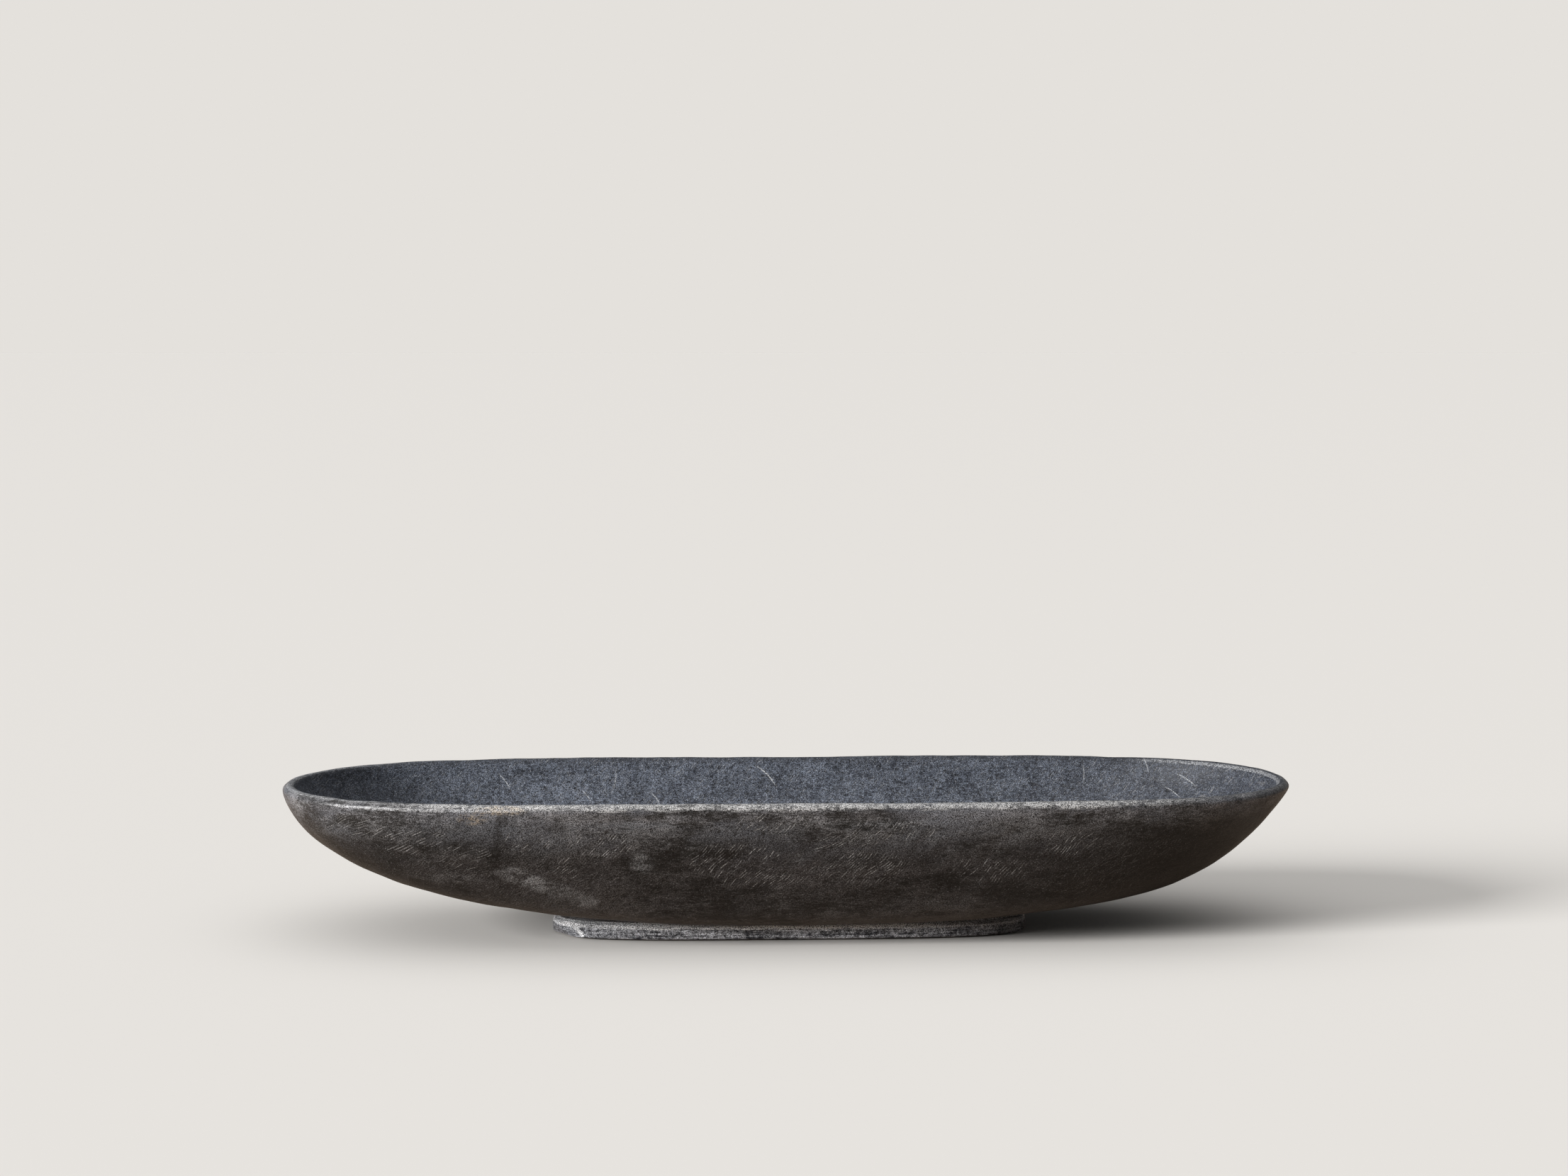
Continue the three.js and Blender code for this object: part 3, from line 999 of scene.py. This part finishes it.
class BOWL_OT_press_pads(bpy.types.Operator):
    """Press the felt pads that sit under the corners of the foot"""

    bl_idname = "bowl.press_pads"
    bl_label = "Press Felt Pads"

    def execute(self, context):
        settings = context.scene.bowl_felt
        felt = pressed_felt(settings)
        first = self.press(PAD_NODES[0], settings)
        pads = [first] + [self.copy(first, node) for node in PAD_NODES[1:]]
        for pad, node in zip(pads, PAD_NODES):
            pad.data.materials.append(felt)
            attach(pad, "root")
            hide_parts(node)
        return {"FINISHED"}

    def press(self, node, settings):
        """A disc of felt whose pressed edge bulges and frays a little."""
        low, high = (Vector(corner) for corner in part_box(node))
        size = high - low
        start_alone()
        bpy.ops.mesh.primitive_cylinder_add(
            vertices=PAD_CORNERS, radius=size.x / 2 - settings.bulge, depth=size.z, location=(low + high) / 2)
        pad = bpy.context.object
        pad.name = "pressed_" + node
        bpy.ops.object.transform_apply(location=True, rotation=True, scale=True)
        bpy.ops.object.mode_set(mode="EDIT")
        select_faces(pad, lambda centre, normal: abs(normal.z) > 0.5)
        for thickness in [PAD_EDGE] + [PAD_RING] * PAD_RINGS:
            bpy.ops.mesh.inset(thickness=thickness, use_individual=True)
        select_faces(pad, lambda centre, normal: abs(normal.z) < 0.5)
        bpy.ops.mesh.subdivide(number_cuts=3)
        bpy.ops.object.mode_set(mode="OBJECT")
        middle = (low.z + high.z) / 2

        def edge_weight(place, normal):
            across = math.hypot(normal.x, normal.y)
            return across * max(0.0, 1 - (2 * abs(place.z - middle) / size.z) ** 2)

        edge = paint_weights(pad, "edge", edge_weight)
        push(pad, edge, settings.bulge)
        push(pad, edge, settings.fuzz * 2, cloud_texture("fuzz", 0.5 * MM, 2))
        take(pad)
        bpy.ops.object.shade_smooth_by_angle(angle=math.radians(40))
        return pad

    def copy(self, first, node):
        """The same pad under another corner, with a mesh of its own."""
        take(first)
        bpy.ops.object.duplicate(linked=False)
        pad = bpy.context.object
        pad.name = "pressed_" + node
        step = Vector(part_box(node)[0]) - Vector(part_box(PAD_NODES[0])[0])
        bpy.ops.transform.translate(value=step)
        bpy.ops.object.transform_apply(location=True, rotation=False, scale=False)
        return pad


# The stage

# Camera fitted to the photograph, and where the light comes from
CAMERA_PLACE = from_mm(-84.46, -1832.64, 350.73)
CAMERA_PITCH = math.radians(4.51)
CAMERA_YAW = math.radians(2.55)
SENSOR_WIDTH_MM = 36.0
KEY_FROM = Vector((-3.3, -1.8, 1.2)).normalized()
KEY_SPREAD = math.radians(22)
SKY_FROM = Vector((-0.25, -0.15, 0.95)).normalized()
FLOOR_SIZE = 400.0


def floor_paper(settings):
    """Plain pale paper, which throws back a little warm light."""
    material, tree, shader = new_material("floor_paper")
    seen = add(tree, "LightPath").outputs["Is Camera Ray"]
    paper = blend(tree, seen, colour(settings.bounce), colour(settings.floor))
    tree.links.new(paper, shader.inputs["Base Color"])
    shader.inputs["Roughness"].default_value = 0.9
    shader.inputs["Specular IOR Level"].default_value = 0.1
    return material


def studio_world(settings):
    """Even light that is stronger from overhead, with a plain backdrop."""
    world = bpy.data.worlds.new("studio")
    world.use_nodes = True
    tree = world.node_tree
    light = tree.nodes["Background"]
    direction = add(tree, "TexCoord").outputs["Generated"]
    facing = add(tree, "VectorMath", {0: direction, 1: SKY_FROM}, operation="DOT_PRODUCT").outputs["Value"]
    level = ramp(tree, facing, 0.25, 1.0, settings.shade, settings.sky)
    tree.links.new(level, light.inputs["Strength"])
    light.inputs["Color"].default_value = (1.0, 1.0, 1.0, 1.0)
    backdrop = add(tree, "Background", {"Color": colour(settings.backdrop), "Strength": 1.0})
    seen = add(tree, "LightPath").outputs["Is Camera Ray"]
    mix = add(tree, "MixShader", {0: seen, 1: light.outputs[0], 2: backdrop.outputs[0]})
    tree.links.new(mix.outputs[0], tree.nodes["World Output"].inputs["Surface"])
    return world


class BOWL_OT_set_stage(bpy.types.Operator):
    """Set the stage: a plain pale floor, soft light from the left and front, and the camera"""

    bl_idname = "bowl.set_stage"
    bl_label = "Set Stage"

    def execute(self, context):
        settings = context.scene.bowl_stage
        start_alone()
        bpy.ops.mesh.primitive_plane_add(size=FLOOR_SIZE, location=(0, 0, 0))
        floor = bpy.context.object
        floor.name = "studio_floor"
        floor.data.materials.append(floor_paper(settings))

        turn = KEY_FROM.to_track_quat("Z", "Y").to_euler()
        bpy.ops.object.light_add(type="SUN", location=KEY_FROM, rotation=turn)
        key = bpy.context.object
        key.name = "soft_key"
        key.data.angle = KEY_SPREAD
        key.data.energy = settings.key

        aim = (math.pi / 2 - CAMERA_PITCH, 0, -CAMERA_YAW)
        bpy.ops.object.camera_add(location=CAMERA_PLACE, rotation=aim)
        camera = bpy.context.object
        camera.name = "photograph_camera"
        camera.data.sensor_width = SENSOR_WIDTH_MM
        camera.data.lens = settings.lens
        context.scene.camera = camera
        context.scene.world = studio_world(settings)
        context.scene.view_settings.view_transform = "Standard"
        return {"FINISHED"}


class BOWL_PT_sidebar(bpy.types.Panel):
    """Lists the bowl's settings and steps"""

    bl_idname = "BOWL_PT_sidebar"
    bl_label = "Carved Marble Bowl"
    bl_space_type = "VIEW_3D"
    bl_region_type = "UI"
    bl_category = "Bowl"

    def draw(self, context):
        steps = (
            (BOWL_OT_carve_stone, context.scene.bowl_stone),
            (BOWL_OT_press_pads, context.scene.bowl_felt),
            (BOWL_OT_set_stage, context.scene.bowl_stage),
        )
        for operator, settings in steps:
            box = self.layout.box()
            for name in settings.__annotations__:
                box.prop(settings, name)
            box.operator(operator.bl_idname)


CLASSES = (
    StoneSettings,
    FeltSettings,
    StageSettings,
    BOWL_OT_carve_stone,
    BOWL_OT_press_pads,
    BOWL_OT_set_stage,
    BOWL_PT_sidebar,
)


def register():
    for cls in CLASSES:
        bpy.utils.register_class(cls)
    bpy.types.Scene.bowl_stone = PointerProperty(type=StoneSettings)
    bpy.types.Scene.bowl_felt = PointerProperty(type=FeltSettings)
    bpy.types.Scene.bowl_stage = PointerProperty(type=StageSettings)


def unregister():
    del bpy.types.Scene.bowl_stone
    del bpy.types.Scene.bowl_felt
    del bpy.types.Scene.bowl_stage
    for cls in reversed(CLASSES):
        bpy.utils.unregister_class(cls)


def main():
    """Registers the add-on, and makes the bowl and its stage."""
    register()
    bpy.ops.bowl.carve_stone()
    bpy.ops.bowl.press_pads()
    bpy.ops.bowl.set_stage()


if __name__ == "__main__":
    main()
